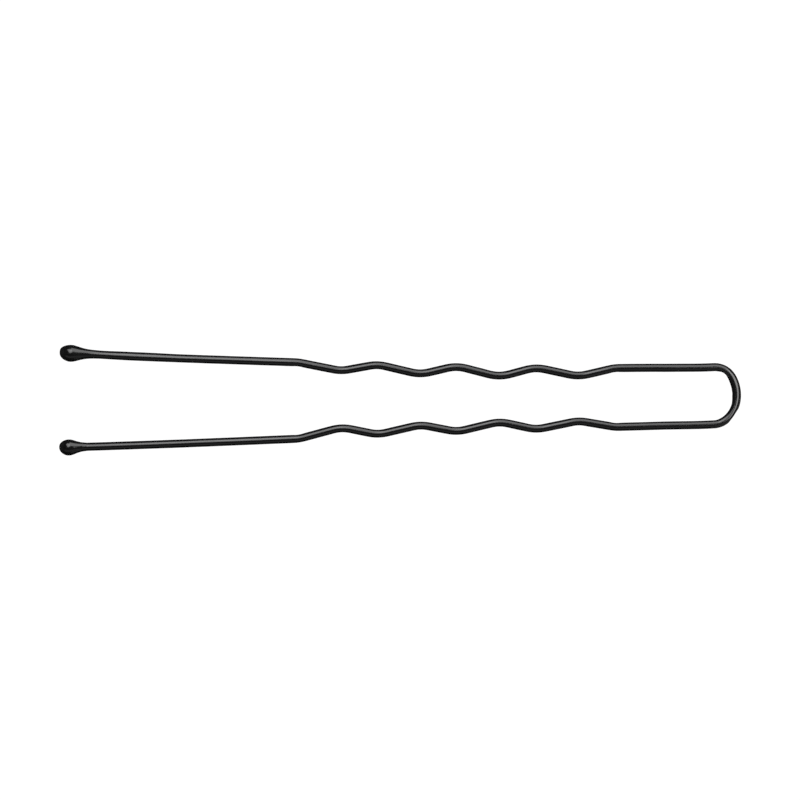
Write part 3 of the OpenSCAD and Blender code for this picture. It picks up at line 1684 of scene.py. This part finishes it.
@dataclass(frozen=True)
class Studio:
    """A white table top, a white surround and soft lights, seen from straight above."""

    boxes: tuple[Softbox, ...] = (
        Softbox("key_softbox", 111.7, 33.9, 0.326, 0.302, 0.134, 3.19, 86.4),
        Softbox("side_softbox", 9.6, 45.7, 0.112, 0.092, 0.051, 4.54, -46.1),
        Softbox("broad_softbox", 68.6, 50.8, 0.3, 0.258, 0.279, 2.6, 5.4),
        Softbox("low_fill", -40.0, 84.0, 0.6, 0.9, 0.127, 0.49),
        Softbox("faint_fill", -90.0, 53.0, 0.4, 0.8, 0.2, 0.24),
    )
    white: Colour = (1.0, 1.0, 1.0, 1.0)
    surround: float = 1.0
    panel_half: float = 1.5
    panel_glow: float = 1.03
    panel_base: Colour = (0.02, 0.02, 0.02, 1.0)
    panel_rough: float = 0.9

    def light(self) -> None:
        """Hangs the lights and sets the white surround."""
        for box in self.boxes:
            box.build()
        world = bpy.data.worlds.new("white_surround")
        world.use_nodes = True
        background = world.node_tree.nodes["Background"].inputs
        background["Color"].default_value = self.white
        background["Strength"].default_value = self.surround
        world.cycles_visibility.glossy = False
        bpy.context.scene.world = world
        bpy.context.scene.view_settings.view_transform = "Standard"

    def floor(self) -> Object:
        """Lays a plain white panel that glows evenly, so that no shadow shows on it.

        Returns:
            The floor's object.
        """
        h = self.panel_half
        mesh = bpy.data.meshes.new("white_panel")
        mesh.from_pydata([(-h, -h, 0), (h, -h, 0), (h, h, 0), (-h, h, 0)], [], [(0, 1, 2, 3)])
        made = link(bpy.data.objects.new("white_panel", mesh))
        opal = bpy.data.materials.new("white_opal_panel")
        opal.use_nodes = True
        surface = opal.node_tree.nodes["Principled BSDF"].inputs
        surface["Base Color"].default_value = self.panel_base
        surface["Roughness"].default_value = self.panel_rough
        surface["Specular IOR Level"].default_value = 0.0
        surface["Emission Color"].default_value = self.white
        surface["Emission Strength"].default_value = self.panel_glow
        mesh.materials.append(opal)
        made.visible_glossy = False
        return made


@dataclass(frozen=True)
class Camera:
    """A long lens straight above the pin, at the photograph's scale and turn.

    Args:
        lens: focal length in millimetres.
        sensor: sensor width in millimetres.
        frame_w: width of the picture on the pin's plane, in millimetres.
        shift_x: how far right of the pin's middle the picture's middle is, in millimetres.
        shift_y: how far above it, in millimetres.
        roll: how far the pin looks turned anticlockwise, in degrees.
        clip: nearest and furthest distance that it sees, in metres.
    """

    lens: float = 250.0
    sensor: float = 36.0
    frame_w: float = 89.088
    shift_x: float = 0.006
    shift_y: float = -0.174
    roll: float = 0.41
    clip: tuple[float, float] = (0.01, 20.0)

    def build(self, plane_z: float) -> Object:
        """Places the camera.

        Args:
            plane_z: height of the wire's middle, in millimetres.

        Returns:
            The camera's object.
        """
        data = bpy.data.cameras.new("copy_camera")
        data.lens, data.sensor_width = self.lens, self.sensor
        data.clip_start, data.clip_end = self.clip
        made = link(bpy.data.objects.new("copy_camera", data))
        height = plane_z + self.frame_w * self.lens / self.sensor
        made.location = (self.shift_x * MM, self.shift_y * MM, height * MM)
        made.rotation_euler = (0.0, 0.0, -math.radians(self.roll))
        bpy.context.scene.camera = made
        return made


def report(pieces: Iterable[Object]) -> None:
    """Says what was made."""
    for piece in pieces:
        log.info("%s: %d faces", piece.name, len(piece.data.polygons))


def main() -> None:
    """Builds the pin, the studio and the camera."""
    logging.basicConfig(level=logging.INFO, format="%(message)s")
    sizes = PinSizes()
    skin = WireSkin(sizes, WireRoute(sizes))
    finishes = build_finishes()
    report(Bow(sizes, skin, finishes).build())
    for side in Side:
        report(Leg(sizes, skin, finishes, side).build())
        report(BallTip(sizes, skin, finishes, side, DROPS[side]).build())
    studio = Studio()
    studio.light()
    studio.floor()
    Camera().build(sizes.wire_z)


if __name__ == "__main__":
    main()
